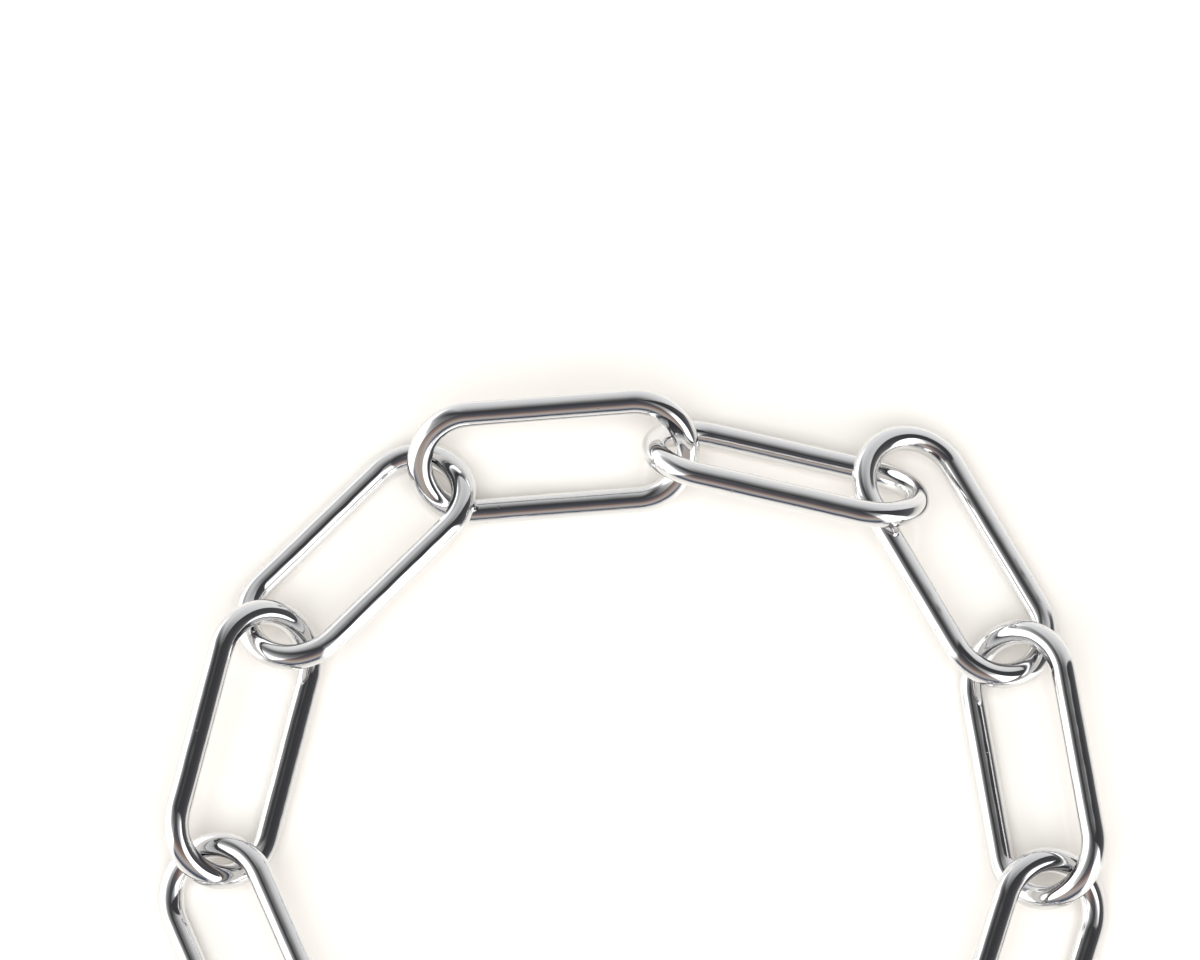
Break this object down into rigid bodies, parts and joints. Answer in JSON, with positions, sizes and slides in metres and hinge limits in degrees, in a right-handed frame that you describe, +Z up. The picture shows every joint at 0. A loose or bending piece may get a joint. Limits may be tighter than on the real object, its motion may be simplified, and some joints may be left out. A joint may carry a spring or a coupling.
{
  "type": "long-link chain",
  "caption": "Closed ring of equal long oval links in bright round wire, each threaded through the next, lying slack on a level surface.",
  "frame": {"origin": "Middle of the bottom of the ring's bounding box, at the level of the table top.", "axes": "+Z up, +Y towards the far side of the ring, +X to the viewer's right."},
  "size_m": [0.0632, 0.0574, 0.0084],
  "materials": {
    "polished_steel": "mirror polished stainless steel wire"
  },
  "bodies": {
    "root": {"link_01": "polished_steel", "link_02": "polished_steel", "link_03": "polished_steel", "link_04": "polished_steel", "link_05": "polished_steel", "link_06": "polished_steel", "link_07": "polished_steel", "link_08": "polished_steel", "link_09": "polished_steel", "link_10": "polished_steel", "link_11": "polished_steel"}
  },
  "joints": []
}
